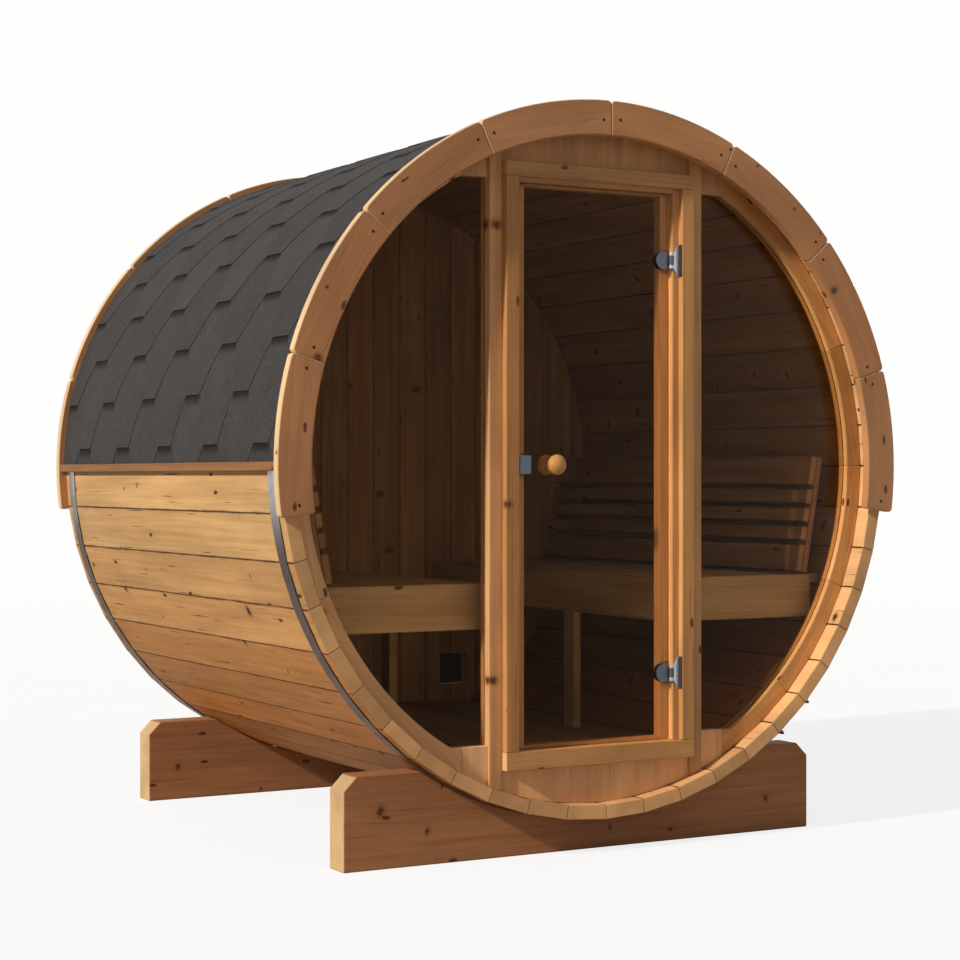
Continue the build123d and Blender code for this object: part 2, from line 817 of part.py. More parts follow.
def build_bench(side, name):
    """One bench: seat boards framed by an apron and an end board, on cross rails, and a leg."""
    bench_length = stave_length - end_wall_back - bench_front_inset - seat_gap
    edge = apron_thickness + seat_gap
    pitch = (bench_depth - edge + bench_board_spacing) / bench_board_count
    board_width = pitch - bench_board_spacing
    with BuildPart() as seat:
        with BuildSketch(across(bench_front_inset + edge)):
            with Locations(
                (side * (bench_inner_edge + edge + bench_outer_edge) / 2, bench_bottom)
            ):
                with GridLocations(pitch, 0, bench_board_count, 1):
                    Rectangle(
                        board_width,
                        bench_board_thickness,
                        align=(Align.CENTER, Align.MIN),
                    )
        extrude(amount=edge - bench_length)
    write(seat, f"bench_seat_{name}")

    apron_bottom = bench_top - apron_height
    apron_middle = side * (bench_inner_edge + apron_thickness / 2)
    rail_inner = bench_inner_edge + edge
    rail_outer = sqrt(lining_radius**2 - apron_bottom**2)
    rail_spacing = (bench_length - apron_thickness) / (bench_rail_count - 1)
    leg_bottom = floor_top + seat_gap
    with BuildPart() as frame:
        with BuildSketch(across(bench_front_inset)):
            with Locations((apron_middle, bench_top)):
                Rectangle(
                    apron_thickness, apron_height, align=(Align.CENTER, Align.MAX)
                )
        extrude(amount=-bench_length)
        for rail in range(bench_rail_count):
            rail_top = bench_bottom - seat_gap if rail else bench_top
            with BuildSketch(across(bench_front_inset + rail * rail_spacing)):
                with Locations((side * (rail_inner + rail_outer) / 2, apron_bottom)):
                    Rectangle(
                        rail_outer - rail_inner,
                        rail_top - apron_bottom,
                        align=(Align.CENTER, Align.MIN),
                    )
            extrude(amount=-apron_thickness)
        with BuildSketch(across(bench_leg_inset)):
            with Locations((apron_middle, leg_bottom)):
                Rectangle(
                    apron_thickness,
                    apron_bottom - seat_gap - leg_bottom,
                    align=(Align.CENTER, Align.MIN),
                )
        extrude(amount=-bench_leg_width)
    write(frame, f"bench_frame_{name}")


def build_backrest(side, name):
    """One backrest: long boards on leaning posts above the bench."""
    length = stave_length - end_wall_back - bench_front_inset - seat_gap
    foot = across(bench_front_inset).from_local_coords(
        (
            side * (bench_outer_edge - backrest_wall_distance),
            bench_top + backrest_lift,
            0,
        )
    )
    lean = radians(backrest_lean)
    rise = Vector(side * sin(lean), 0, cos(lean))
    face = Plane(origin=foot, x_dir=(0, 1, 0), z_dir=Vector(0, 1, 0).cross(rise))
    outward = 1 if side * face.z_dir.X > 0 else -1
    height = sum(backrest_heights) + backrest_spacing * (len(backrest_heights) - 1)
    post_spacing = (length - backrest_post_width) / (backrest_post_count - 1)
    with BuildPart() as rest:
        start = 0.0
        for board_height in backrest_heights:
            with BuildSketch(face):
                with Locations((0, start)):
                    Rectangle(length, board_height, align=(Align.MIN, Align.MIN))
            extrude(amount=outward * backrest_board_thickness)
            start += board_height + backrest_spacing
        with BuildSketch(face.offset(outward * (backrest_board_thickness + seat_gap))):
            for post in range(backrest_post_count):
                with Locations((post * post_spacing, 0)):
                    Rectangle(
                        backrest_post_width, height, align=(Align.MIN, Align.MIN)
                    )
        extrude(amount=outward * backrest_board_thickness)
    write(rest, f"backrest_{name}")


build_staves()
build_cradle("cradle_front", front_cradle_inset)
build_cradle("cradle_back", stave_length - back_cradle_inset - cradle_thickness)
build_band("band_front", band_inset)
build_band("band_back", stave_length - band_inset - band_width)

build_fascia("fascia_front", -seat_gap - fascia_thickness)
build_fascia("fascia_back", stave_length + seat_gap)
build_shingles()
build_battens()

build_side_rings()
build_infill("front_infill_top", pane_top, doorway_top + head_height, 1)
build_infill("front_infill_bottom", pane_bottom, doorway_bottom - sill_height, -1)
build_mullions()
build_side_glass()

build_door_frame()
build_door_stops()
build_wall_plates()
build_door_glass()
build_hinge_clamps()
build_knob()
build_latch_plate()

build_back_wall()
build_vent()

build_floor()
for bench_side, bench_name in ((1, "right"), (-1, "left")):
    build_bench(bench_side, bench_name)
    build_backrest(bench_side, bench_name)
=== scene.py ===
import json
import math
import random

import bmesh
import bpy
from mathutils import Matrix, Vector


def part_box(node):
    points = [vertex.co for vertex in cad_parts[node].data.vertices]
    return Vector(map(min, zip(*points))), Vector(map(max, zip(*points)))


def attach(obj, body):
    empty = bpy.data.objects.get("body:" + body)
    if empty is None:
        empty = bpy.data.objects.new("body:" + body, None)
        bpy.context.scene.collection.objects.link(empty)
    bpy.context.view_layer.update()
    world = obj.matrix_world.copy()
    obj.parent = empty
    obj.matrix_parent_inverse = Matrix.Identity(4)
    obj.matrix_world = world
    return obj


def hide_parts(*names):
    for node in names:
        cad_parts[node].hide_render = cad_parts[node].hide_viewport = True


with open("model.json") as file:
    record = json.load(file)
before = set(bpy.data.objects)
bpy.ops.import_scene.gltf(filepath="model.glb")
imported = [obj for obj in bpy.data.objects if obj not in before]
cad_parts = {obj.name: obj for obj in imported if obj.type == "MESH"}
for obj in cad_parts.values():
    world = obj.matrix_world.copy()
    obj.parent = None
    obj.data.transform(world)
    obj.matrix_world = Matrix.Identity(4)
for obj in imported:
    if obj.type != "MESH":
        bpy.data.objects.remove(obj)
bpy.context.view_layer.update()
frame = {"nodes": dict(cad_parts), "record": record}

# Barrel sauna: the looks of the CAD pieces, the roof's shingles, the screws and the studio.
# Metres, in the shared frame: x to the right as seen from the front, y to the back, z up.

RNG = random.Random(11)
NODES = frame["nodes"]
SLOT_OF = {p["node"]: p["material_slot"] for p in frame["record"]["subparts"]}
DOOR_NODES = ("door_glass", "door_hinge_upper", "door_hinge_lower", "door_knob", "door_latch_plate")
ALONG_X = Vector((1, 0, 0))
ALONG_Y = Vector((0, 1, 0))
ALONG_Z = Vector((0, 0, 1))

AXIS_HEIGHT = 1.041  # the barrel's axis above the ground
FRONT_Y = -0.822  # the staves' ends
BACK_Y = 0.822
INDOORS_TO = 0.745  # distance from the middle, along the barrel, to the end walls
RECESS_FROM = 0.765
PAD_AND_SHADOW_X = 0.2573  # right of this, a hinge's wall plate is near black: its rubber pad, and painted shadow of the hinge

# Growth and wear in the wood: cells to the metre along, across and through a board
FIBRES = (5.0, 420.0, 420.0)
STREAKS = (1.4, 48.0, 48.0)
CHECKS = (4.5, 150.0, 150.0)
PATCHES = (2.0, 8.0, 8.0)
WARP = (0.9, 5.0, 5.0)
JOINT_PATCHES = (7.0, 1.0, 1.0)
KNOT_STRETCH = (1.25, 0.95, 0.0)
KNOT_CELLS = 4.6
SPECK_STRETCH = (0.36, 0.85, 0.0)
SPECK_CELLS = 15.0
WOBBLE_CELLS = 70.0
WOBBLE = (0.016, 0.007, 0.0)  # how far the outlines of knots and specks waver
RING_RATE = 900.0  # radians to the metre from the pith, which is a ring every 7 mm
RING_WAVE = 0.04
KNOT_PUSH = 0.008  # how far a knot pushes the rings aside
PITH_DEPTH = 0.05  # from the board's middle inwards
PITH_SHIFT = 0.09  # sideways, from one board to another
GRAIN_REACH = 60  # metres along the grain over which the boards are strewn

# Where the staves redden and darken towards the ground: a redder tone, and painted shade on the
# staves that face down
WARM_SHADE_DROP = 0.14  # below the axis
WARM_SHADE_FADE = 0.55  # from there down to the full tone

EASED_ANGLE = math.radians(28)  # edges sharper than this are eased
FLAT_ANGLE = math.radians(0.4)  # faces flatter than this are one
FACING = 0.5  # how far a face looks a given way, at least, to count as facing it
END_LEAN = 0.6  # the same along the board, for its sawn ends
END_ARRIS_LEAN = 0.2  # and for the arrises round them, where less dirt and painted shade lie
END_ARRIS_DARKENING = 0.3


# ---------------------------------------------------------------- node helpers
def linear(value):
    """Linear light of an 8-bit sRGB value."""
    part = value / 255
    return part / 12.92 if part <= 0.04045 else ((part + 0.055) / 1.055) ** 2.4


def srgb(red, green, blue):
    """Linear colour of an 8-bit sRGB triple."""
    return (linear(red), linear(green), linear(blue), 1.0)


KNOT = srgb(88, 50, 27)
KNOT_RIM = srgb(122, 74, 38)
# Dark dirt in the joints between boards, and painted shade in the gaps between them
JOINT_DIRT_AND_SHADE = srgb(68, 36, 16)


class Net:
    """The nodes of a material or a world, and short ways to add to them."""

    def __init__(self, owner, output="OutputMaterial"):
        owner.use_nodes = True
        self.owner = owner
        self.tree = owner.node_tree
        self.tree.nodes.clear()
        self.out = self.add(output)

    def add(self, kind, values=None, **settings):
        """A node with its settings, and its sockets' values or links."""
        node = self.tree.nodes.new("ShaderNode" + kind)
        for key, value in settings.items():
            setattr(node, key, value)
        for key, value in (values or {}).items():
            self.put(node.inputs[key], value)
        return node

    def put(self, socket, value):
        if isinstance(value, bpy.types.NodeSocket):
            self.tree.links.new(value, socket)
        else:
            socket.default_value = value

    def math(self, operation, a, b=0.0, clamp=False):
        node = self.add("Math", {0: a, 1: b}, operation=operation, use_clamp=clamp)
        return node.outputs[0]

    def plus(self, a, b, clamp=False):
        return self.math("ADD", a, b, clamp)

    def minus(self, a, b):
        return self.math("SUBTRACT", a, b)

    def times(self, a, b, clamp=False):
        return self.math("MULTIPLY", a, b, clamp)

    def larger(self, a, b):
        return self.math("MAXIMUM", a, b)

    def line(self, value, slope, start):
        """The value times the slope, from the start."""
        return self.plus(self.times(value, slope), start)

    def dimmed(self, value, amount):
        """1 where the value is 0, down to 1 less the amount where it is 1."""
        return self.minus(1.0, self.times(value, amount))

    def band(self, value, low, high, out_low=0.0, out_high=1.0):
        """Maps low..high to out_low..out_high, smoothly."""
        node = self.add(
            "MapRange",
            {
                "Value": value, "From Min": low, "From Max": high,
                "To Min": out_low, "To Max": out_high,
            },
            interpolation_type="SMOOTHSTEP",
        )
        return node.outputs["Result"]

    def fall(self, value, low, high):
        """1 up to low, and 0 from high."""
        return self.band(value, low, high, 1.0, 0.0)

    def place(self):
        """The place on the object, in metres."""
        return self.add("TexCoord").outputs["Object"]

    def split(self, vector):
        return self.add("SeparateXYZ", {0: vector}).outputs

    def vector(self, operation, a, b):
        return self.add("VectorMath", {0: a, 1: b}, operation=operation).outputs[0]

    def attribute(self, name, output="Fac"):
        return self.add("Attribute", attribute_name=name).outputs[output]

    def noise(self, vector, cells, detail=3.0, rough=0.55):
        """Clouds of 0 to 1, by cells to the metre or, as three numbers, along each axis."""
        if isinstance(cells, tuple):
            vector, cells = self.vector("MULTIPLY", vector, cells), 1.0
        values = {"Vector": vector, "Scale": cells, "Detail": detail, "Roughness": rough}
        return self.add("TexNoise", values).outputs["Fac"]

    def cells(self, vector, scale, dimensions):
        """The distance from the middle of the nearest cell, and that cell's random numbers."""
        values = {"Vector": vector, "Scale": scale}
        cell = self.add("TexVoronoi", values, voronoi_dimensions=dimensions).outputs
        return cell["Distance"], self.add("SeparateColor", {0: cell["Color"]}).outputs

    def mix(self, factor, a, b, blend="MIX"):
        node = self.add("Mix", data_type="RGBA", blend_type=blend)
        self.put(node.inputs[0], factor)
        self.put(node.inputs[6], a)
        self.put(node.inputs[7], b)
        return node.outputs[2]

    def filtered(self, colour, by):
        """The colour times another colour."""
        return self.mix(1.0, colour, by, "MULTIPLY")

    def shaded(self, colour, by):
        """The colour times a number."""
        return self.filtered(colour, self.add("CombineColor", {0: by, 1: by, 2: by}).outputs[0])

    def bump(self, height, distance, strength):
        node = self.add("Bump", {"Height": height, "Distance": distance, "Strength": strength})
        return node.outputs["Normal"]

    def principled(self, values):
        return self.add("BsdfPrincipled", values).outputs[0]

    def blend(self, factor, first, second):
        """The first shader where the factor is 0, and the second where it is 1."""
        return self.add("MixShader", {0: factor, 1: first, 2: second}).outputs[0]

    def finish(self, shader):
        self.tree.links.new(shader, self.out.inputs["Surface"])
        return self.owner


# ---------------------------------------------------------------- materials
def knots_and_specks(net, on_face, knots):
    """A knot in some cells of a face, as its core, rim and halo, and dark specks in clusters."""
    wobble = net.add("TexNoise", {"Vector": on_face, "Scale": WOBBLE_CELLS, "Detail": 2.0})
    wobble = net.vector("SUBTRACT", wobble.outputs["Color"], (0.5, 0.5, 0.5))
    uneven = net.vector("ADD", on_face, net.vector("MULTIPLY", wobble, WOBBLE))
    distance, pick = net.cells(net.vector("MULTIPLY", uneven, KNOT_STRETCH), KNOT_CELLS, "2D")
    has_knot = net.math("GREATER_THAN", pick[0], 1.0 - knots)
    reach = net.math("DIVIDE", distance, net.line(net.math("POWER", pick[1], 2.0), 0.055, 0.022))
    core = net.times(net.fall(reach, 0.55, 0.95), has_knot)
    rim = net.times(net.fall(reach, 0.95, 1.6), has_knot)
    halo = net.times(net.fall(reach, 0.9, 3.2), has_knot)
    distance, pick = net.cells(net.vector("MULTIPLY", uneven, SPECK_STRETCH), SPECK_CELLS, "2D")
    rate = net.band(net.noise(on_face, 2.6, 1.0), 0.45, 0.66, 0.97, 0.45)
    speck = net.times(net.fall(distance, 0.05, 0.085), net.math("GREATER_THAN", pick[0], rate))
    return core, rim, halo, speck


def growth_rings(net, grain, across, depth, board, halo):
    """Rings round a pith behind the board, wavy, and pushed aside by the knots."""
    warp = net.times(net.minus(net.noise(grain, WARP, 2.0), 0.5), RING_WAVE)
    warp = net.plus(warp, net.times(halo, KNOT_PUSH))
    side = net.plus(across, net.times(net.minus(board, 0.5), PITH_SHIFT))
    inward = net.plus(depth, PITH_DEPTH)
    radius = net.math("SQRT", net.plus(net.times(side, side), net.times(inward, inward)))
    ring = net.math("SINE", net.times(net.plus(radius, warp), RING_RATE))
    return net.band(ring, -0.4, 1.0)


def wood(
    name, light, dark, rings=0.25, knots=0.5, rough=0.5, spread=0.12, joint_dirt_and_shade=0.15, checks=0.4,
    gloss=0.3, warm_and_low_shade=(1.0, 0.84, 0.66, 1.0), indoor_shade_colour=(0.6, 0.6, 0.6, 1.0), cut=None, knot=KNOT,
):
    """Planed softwood: growth rings, fibres, streaks, knots, checks and a tint for each board.

    The mesh says for each point its grain (the place along, across and through the board), the
    board's random tint, its redder tone, which on the lower staves is also painted shade, and half
    its width, and for each face whether it is a sawn end, an eased arris or looks inside. Dark dirt
    and painted shade lie in the joints and on the eased arrises, fresh cuts are pale, and the faces
    that look inside get painted shade between the end walls.
    """
    net = Net(bpy.data.materials.new(name))
    grain = net.attribute("grain", "Vector")
    board = net.attribute("board")
    end = net.attribute("end")
    inside = net.attribute("inside")
    flat = net.dimmed(end, 0.85)
    along, across, depth = net.split(grain)
    on_face = net.add("CombineXYZ", {0: along, 1: net.plus(across, depth), 2: 0.0}).outputs[0]
    core, rim, halo, speck = knots_and_specks(net, on_face, knots)
    ring = growth_rings(net, grain, across, depth, board, halo)
    fibre = net.noise(grain, FIBRES, rough=0.6)
    streak = net.noise(grain, STREAKS)
    patch = net.noise(grain, PATCHES)
    joint_patches = net.noise(grain, JOINT_PATCHES, rough=0.6)

    tone = net.plus(net.times(ring, rings), net.times(net.band(streak, 0.3, 0.75), 0.5))
    tone = net.plus(tone, net.times(net.band(fibre, 0.3, 0.8), 0.25))
    tone = net.times(tone, flat, clamp=True)
    tint = net.line(net.minus(board, 0.5), 2.0 * spread, 1.0)
    tint = net.times(tint, net.band(patch, 0.25, 0.75, 0.80, 1.16))
    crack = net.times(net.fall(streak, 0.27, 0.31), flat)
    tint = net.times(tint, net.dimmed(crack, 0.35))

    from_middle = net.math("ABSOLUTE", net.split(net.place())[1])
    # Painted shade: the faces that look inside the barrel are darker between the end walls.
    indoor_shade = net.times(inside, net.fall(from_middle, INDOORS_TO, RECESS_FROM))
    recess = net.times(inside, net.band(from_middle, INDOORS_TO, RECESS_FROM))
    colour = net.mix(tone, light, dark)
    # A redder tone for each board, which on the lower staves also darkens them: painted shade, as
    # they face the ground.
    colour = net.mix(net.attribute("warm_and_low_shade"), colour, net.filtered(colour, warm_and_low_shade))
    if cut:
        colour = net.mix(net.larger(net.times(end, 0.8), net.times(recess, 0.7)), colour, cut)
    colour = net.shaded(colour, tint)
    # Painted shade inside the barrel.
    colour = net.mix(indoor_shade, colour, net.filtered(colour, indoor_shade_colour))
    colour = net.mix(net.times(halo, 0.35), colour, dark)
    colour = net.mix(net.times(rim, 0.55), colour, KNOT_RIM)

    # Darker along the board edges and on eased arrises: dirt in the joints, and painted shade in
    # the gaps between boards.
    from_edge = net.math("DIVIDE", net.math("ABSOLUTE", across), net.attribute("half"))
    dirt_and_shade = net.times(net.band(from_edge, 0.86, 1.0), net.band(joint_patches, 0.42, 0.7))
    dirt_and_shade = net.times(net.times(dirt_and_shade, flat), 0.7)
    arris_dirt_and_shade = net.times(net.attribute("arris"), net.band(joint_patches, 0.3, 0.6, 0.6, 1.0))
    dirt_and_shade = net.times(net.larger(dirt_and_shade, arris_dirt_and_shade), joint_dirt_and_shade, clamp=True)
    colour = net.mix(dirt_and_shade, colour, JOINT_DIRT_AND_SHADE)

    check = net.band(net.noise(grain, CHECKS, 1.0, 0.5), 0.70, 0.76)
    check = net.times(check, net.times(flat, checks))
    blemish = net.larger(net.larger(core, net.times(speck, flat)), check)
    blemish = net.times(blemish, net.dimmed(indoor_shade, 0.4))
    colour = net.mix(net.times(blemish, 0.95), colour, knot)
    height = net.plus(net.times(fibre, 0.6), net.times(ring, -0.2))
    height = net.minus(height, net.times(blemish, 0.6))
    return net.finish(net.principled({
        "Base Color": colour,
        "Roughness": net.plus(net.times(fibre, 0.25), rough - 0.1, clamp=True),
        "Specular IOR Level": gloss,
        "Normal": net.bump(height, 0.0007, 0.55),
    }))


def metal(name, colour, rough=0.34, stretch=(1.0, 1.0, 60.0), low_reflection=None):
    """Brushed metal with faint grime, and a painted dark reflection of the ground that begins below
    a height.
    """
    net = Net(bpy.data.materials.new(name))
    place = net.place()
    brush = net.noise(net.vector("MULTIPLY", place, stretch), 14.0, rough=0.6)
    grime = net.times(net.band(net.noise(place, 23.0, 4.0, 0.6), 0.45, 0.75), 0.25)
    base = net.shaded(colour, net.line(brush, 0.35, 0.82))
    if low_reflection:
        # Painted reflection: darker below a height, where the metal faces the ground.
        reflected_colour, low, high = low_reflection
        base = net.mix(net.fall(net.split(place)[2], low, high), base, reflected_colour)
    base = net.mix(grime, base, (0.05, 0.04, 0.035, 1.0))
    roughness = net.plus(net.times(brush, 0.2), net.line(grime, 0.6, rough - 0.1), clamp=True)
    return net.finish(net.principled({
        "Base Color": base,
        "Roughness": roughness,
        "Metallic": 1.0,
        "Normal": net.bump(brush, 0.0003, 0.35),
    }))


def plastic(name, colour, rough=0.55, gloss=0.5):
    """Moulded plastic or rubber with a fine matt texture, paler in patches."""
    net = Net(bpy.data.materials.new(name))
    place = net.place()
    fine = net.noise(place, 900.0, 2.0, 0.6)
    wide = net.noise(place, 18.0, rough=0.5)
    pale = (*(part * 1.6 + 0.01 for part in colour[:3]), 1.0)
    return net.finish(net.principled({
        "Base Color": net.mix(net.band(wide, 0.3, 0.75, 0.0, 0.5), colour, pale),
        "Roughness": net.plus(net.times(wide, 0.2), rough - 0.1, clamp=True),
        "Specular IOR Level": gloss,
        "Normal": net.bump(fine, 0.0003, 0.5),
    }))


def tinted_glass(name, tint, shade):
    """Smeared, dusty glass with a faint tint, which lets light through as dimmed by the shade."""
    net = Net(bpy.data.materials.new(name))
    place = net.place()
    smear = net.noise(net.vector("MULTIPLY", place, (3.0, 3.0, 1.2)), 3.0, 4.0, 0.6)
    glass = net.principled({
        "Base Color": tint,
        "Roughness": net.times(net.band(smear, 0.45, 0.8), 0.05),
        "Transmission Weight": 1.0,
        "IOR": 1.5,
        "Specular Tint": (0.06, 0.05, 0.04, 1.0),
        "Normal": net.bump(smear, 0.0004, 0.12),
    })
    dust = net.add("BsdfDiffuse", {"Color": (0.6, 0.57, 0.5, 1.0)}).outputs[0]
    film = net.times(net.band(net.noise(place, 260.0, 2.0, 0.5), 0.62, 0.8), 0.004)
    clear = net.add("BsdfTransparent", {"Color": shade}).outputs[0]
    shadow_ray = net.add("LightPath").outputs["Is Shadow Ray"]
    return net.finish(net.blend(shadow_ray, net.blend(film, glass, dust), clear))


def shingle_felt(name, colour):
    """Granule-faced bitumen shingle, dark just under the tabs of the course above.

    The mesh says for each point its tab (the place across the tab, -0.5 to 0.5, and the steps
    up the course) and its strip's random shade.
    """
    net = Net(bpy.data.materials.new(name))
    place = net.place()
    distance, pick = net.cells(place, 520.0, "3D")
    blotch = net.noise(place, 9.0, 4.0, 0.6)
    phase, course, _ = net.split(net.attribute("tab", "Vector"))
    near_butt = net.band(net.plus(course, net.times(blotch, 0.1)), 1.80, 2.02)
    under_tab = net.fall(net.math("ABSOLUTE", phase), 0.14, 0.17)
    tone = net.times(net.band(pick[1], 0.0, 1.0, 0.55, 1.45), net.line(blotch, 0.5, 0.75))
    tone = net.times(tone, net.line(net.attribute("board"), 0.16, 0.92))
    tone = net.times(tone, net.dimmed(net.times(near_butt, under_tab), 0.8))
    return net.finish(net.principled({
        "Base Color": net.shaded(colour, tone),
        "Roughness": net.band(pick[1], 0.0, 1.0, 0.75, 0.95),
        "Specular IOR Level": 0.12,
        "Normal": net.bump(distance, 0.0009, 0.6),
    }))


# On the staves, the redder tone also darkens the lower staves, and the tint for the faces inside
# darkens those: both painted shade.
STAVE = wood(
    "stave_pine", srgb(204, 168, 119), srgb(172, 129, 82), rings=0.12, knots=0.72, rough=0.6,
    spread=0.13, joint_dirt_and_shade=0.95, checks=0.9, gloss=0.15, warm_and_low_shade=(0.85, 0.55, 0.33, 1.0),
    indoor_shade_colour=(0.54, 0.40, 0.29, 1.0), cut=srgb(229, 180, 130), knot=srgb(50, 25, 11),
)
FASCIA = wood(
    "fascia_pine", srgb(200, 146, 103), srgb(178, 125, 84), rings=0.08, spread=0.07,
    cut=srgb(226, 198, 156),
)
BATTEN = wood(
    "batten_pine", srgb(142, 99, 58), srgb(112, 73, 40), rings=0.2, knots=0.3, spread=0.06,
    gloss=0.15,
)
FRAME = wood(
    "frame_pine", srgb(206, 156, 102), srgb(170, 118, 70), rings=0.16, knots=0.4, spread=0.08,
    cut=srgb(214, 172, 124),
)
MULLION = wood(
    "mullion_pine", srgb(222, 174, 127), srgb(184, 133, 88), rings=0.08, knots=0.4, spread=0.08,
)
# A lighter copy of the mullion wood for the lower infill, which lies in shade: painted light.
INFILL_PAINTED_LIGHT = wood(
    "infill_pine_painted_light", srgb(244, 198, 150), srgb(220, 168, 122), rings=0.06, knots=0.3, spread=0.05,
)
RING = wood(
    "ring_pine", srgb(214, 164, 106), srgb(182, 128, 76), rings=0.15, knots=0.3, spread=0.06,
    cut=srgb(240, 200, 146),
)
# A lighter copy of the ring wood for the left ring, which lies in shade: painted light.
RING_PAINTED_LIGHT = wood(
    "ring_pine_painted_light", srgb(243, 198, 146), srgb(218, 162, 112), rings=0.15, knots=0.3, spread=0.06,
)
CRADLE = wood(
    "cradle_pine", srgb(178, 130, 94), srgb(146, 99, 68), rings=0.12, knots=0.6, rough=0.6,
    gloss=0.2, cut=srgb(194, 168, 128),
)
INNER = wood(
    "bench_wood", srgb(185, 151, 109), srgb(160, 122, 80), rings=0.2, knots=0.12, joint_dirt_and_shade=0.4,
    gloss=0.1,
)
# Bench wood darkened to its look in shade, and with its gaps darkened too: painted shade.
BACKREST_SHADED = wood(
    "backrest_pine_painted_shade", srgb(158, 118, 82), srgb(128, 91, 60), rings=0.2, knots=0.12, joint_dirt_and_shade=1.0,
    gloss=0.08,
)
WALL = wood(
    "wall_pine", srgb(205, 157, 108), srgb(164, 115, 72), rings=0.2, knots=0.18, spread=0.2,
    joint_dirt_and_shade=0.9, checks=0.9, gloss=0.12,
)
FLOORING = wood(
    "floor_pine", srgb(150, 118, 82), srgb(116, 86, 56), rings=0.2, knots=0.4, gloss=0.1,
)
KNOB = wood("knob_wood", srgb(206, 156, 98), srgb(158, 108, 62), rings=0.5, knots=0.0, gloss=0.2)
SHINGLE = shingle_felt("bitumen_shingle", srgb(60, 59, 61))
# The band's lower part is darker: a painted reflection of the ground.
BAND = metal(
    "band_steel", (0.44, 0.43, 0.46, 1.0), stretch=(1.0, 40.0, 1.0),
    low_reflection=((0.086, 0.050, 0.043, 1.0), 0.80, 1.0),
)
# Hinge steel darkened to the look it has facing front in shade: painted shade.
CLAMP_SHADED = metal("clamp_steel_painted_shade", (0.11, 0.115, 0.135, 1.0))
HINGE = metal("hinge_steel", (0.52, 0.52, 0.55, 1.0))
LATCH = metal("latch_steel", (0.10, 0.125, 0.16, 1.0), rough=0.4)
SCREW = plastic("screw_head", (0.022, 0.013, 0.008, 1.0), rough=0.7, gloss=0.15)
VENT = plastic("vent_plastic", (0.06, 0.045, 0.035, 1.0))
# A near-black sheet to darken the vent: painted shade.
SHADE_SCREEN = plastic("shade_screen_mesh", (0.004, 0.004, 0.004, 1.0), rough=0.9, gloss=0.05)
PAD_AND_SHADOW = plastic("hinge_pad_and_shadow", (0.012, 0.012, 0.013, 1.0))
GLASS = tinted_glass("bronze_glass", (0.84, 0.76, 0.66, 1.0), (0.76, 0.68, 0.60, 1.0))
MATERIAL_OF = {
    "stave_wood": STAVE,
    "fascia_wood": FASCIA,
    "cradle_wood": CRADLE,
    "frame_wood": FRAME,
    "inner_wood": INNER,
    "knob_wood": KNOB,
    "shingle": SHINGLE,
    "band_steel": BAND,
    "hinge_metal": HINGE,
    "vent_plastic": VENT,
    "side_glass": GLASS,
    "door_glass": GLASS,
}


# ---------------------------------------------------------------- boards from CAD nodes
def islands(bm):
    """Lists of the connected vertices, in the order of each one's first vertex."""
    seen = set()
    found = []
    for start in bm.verts:
        if start in seen:
            continue
        seen.add(start)
        group, waiting = [start], [start]
        while waiting:
            vert = waiting.pop()
            for edge in vert.link_edges:
                other = edge.other_vert(vert)
                if other not in seen:
                    seen.add(other)
                    group.append(other)
                    waiting.append(other)
        found.append(group)
    return found


def middle_of(group):
    """The mean place of some vertices."""
    return sum((vert.co for vert in group), Vector()) / len(group)


def joined_copy(name):
    """A CAD node's mesh with its doubled vertices joined."""
    bm = bmesh.new()
    bm.from_mesh(NODES[name].data)
    bmesh.ops.remove_doubles(bm, verts=bm.verts, dist=1e-5)
    return bm


def outward_at(centre):
    """The direction away from the barrel's axis."""
    return Vector((centre.x, 0.0, centre.z - AXIS_HEIGHT)).normalized()


def board_axes(lie, outward, group):
    """The directions along, across and through a board. One that lies free follows its size."""
    tangent = outward.cross(ALONG_Y)
    if lie == "stave":
        return ALONG_Y, tangent, outward
    if lie == "ring":
        return tangent, outward, ALONG_Y
    if lie == "upright":
        return ALONG_Z, ALONG_X, ALONG_Y
    size = [max(v.co[i] for v in group) - min(v.co[i] for v in group) for i in range(3)]
    longest_first = sorted(range(3), key=lambda i: -size[i])
    return tuple((ALONG_X, ALONG_Y, ALONG_Z)[i] for i in longest_first)


def eased_boards(name, bevel, segments):
    """A CAD node's boards with their sharp edges eased, and the faces that this made."""
    bm = joined_copy(name)
    bmesh.ops.dissolve_limit(bm, angle_limit=FLAT_ANGLE, verts=bm.verts, edges=bm.edges)
    eased = set()
    if bevel:
        sharp = [
            edge for edge in bm.edges
            if len(edge.link_faces) == 2 and edge.calc_face_angle(0.0) > EASED_ANGLE
        ]
        done = bmesh.ops.bevel(
            bm, geom=sharp, offset=bevel, segments=segments, profile=0.6,
            affect="EDGES", clamp_overlap=True,
        )
        eased = set(done["faces"])
    for parts in (bm.verts, bm.faces):
        parts.ensure_lookup_table()
        parts.index_update()
    return bm, eased


def write(mesh, name, values, domain="POINT"):
    """A number for each point or face of the mesh."""
    mesh.attributes.new(name, "FLOAT", domain).data.foreach_set("value", values)


def write_vectors(mesh, name, values):
    """Three numbers for each point of the mesh."""
    mesh.attributes.new(name, "FLOAT_VECTOR", "POINT").data.foreach_set("vector", values)


def add_object(name, mesh):
    thing = bpy.data.objects.new(name, mesh)
    bpy.context.scene.collection.objects.link(thing)
    return thing


def place_mesh(mesh, name, material=None):
    """Puts a finished mesh into the scene in place of the CAD node of that name."""
    mesh.materials.append(material or MATERIAL_OF[SLOT_OF[name]])
    thing = add_object("look_" + name, mesh)
    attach(thing, "door" if name in DOOR_NODES else "cabin")
    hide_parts(name)
    return thing


def add_small_part(bm, name, material):
    """Puts a form into the scene that no CAD node has, fixed to the cabin."""
    mesh = bpy.data.meshes.new(name)
    bm.to_mesh(mesh)
    bm.free()
    mesh.materials.append(material)
    thing = add_object(name, mesh)
    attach(thing, "cabin")


